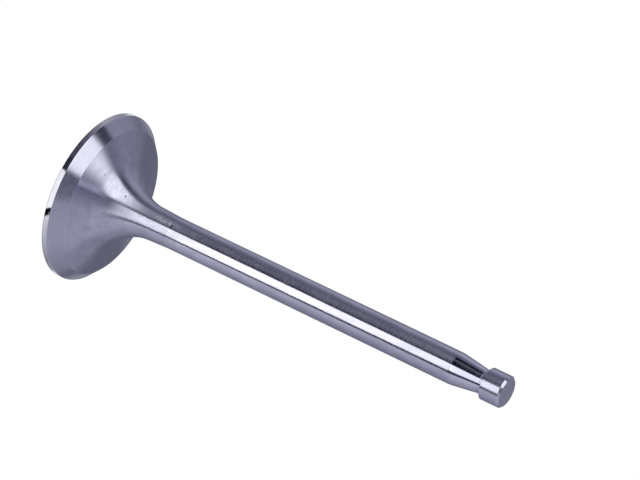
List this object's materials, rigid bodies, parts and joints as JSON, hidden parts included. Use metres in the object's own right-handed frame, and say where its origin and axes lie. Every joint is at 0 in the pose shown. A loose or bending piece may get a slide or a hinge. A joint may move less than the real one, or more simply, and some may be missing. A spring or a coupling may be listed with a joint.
{
  "type": "engine valve",
  "caption": "Poppet valve for a small engine's intake: flat head with a 45-degree seat, swept throat, ground stem, tapered keeper groove and button tip.",
  "frame": {"origin": "centre of the flat combustion face, the face the valve stands on", "axes": "+Z along the stem axis, from the head to the tip; X and Y are free, because the part is turned"},
  "size_m": [0.0352, 0.0352, 0.0967],
  "materials": {
    "valve_steel": "bare steel: turned satin on the head's back, ground seat and stem, polished rim"
  },
  "bodies": {
    "root": {"intake_valve": "valve_steel"}
  },
  "joints": []
}
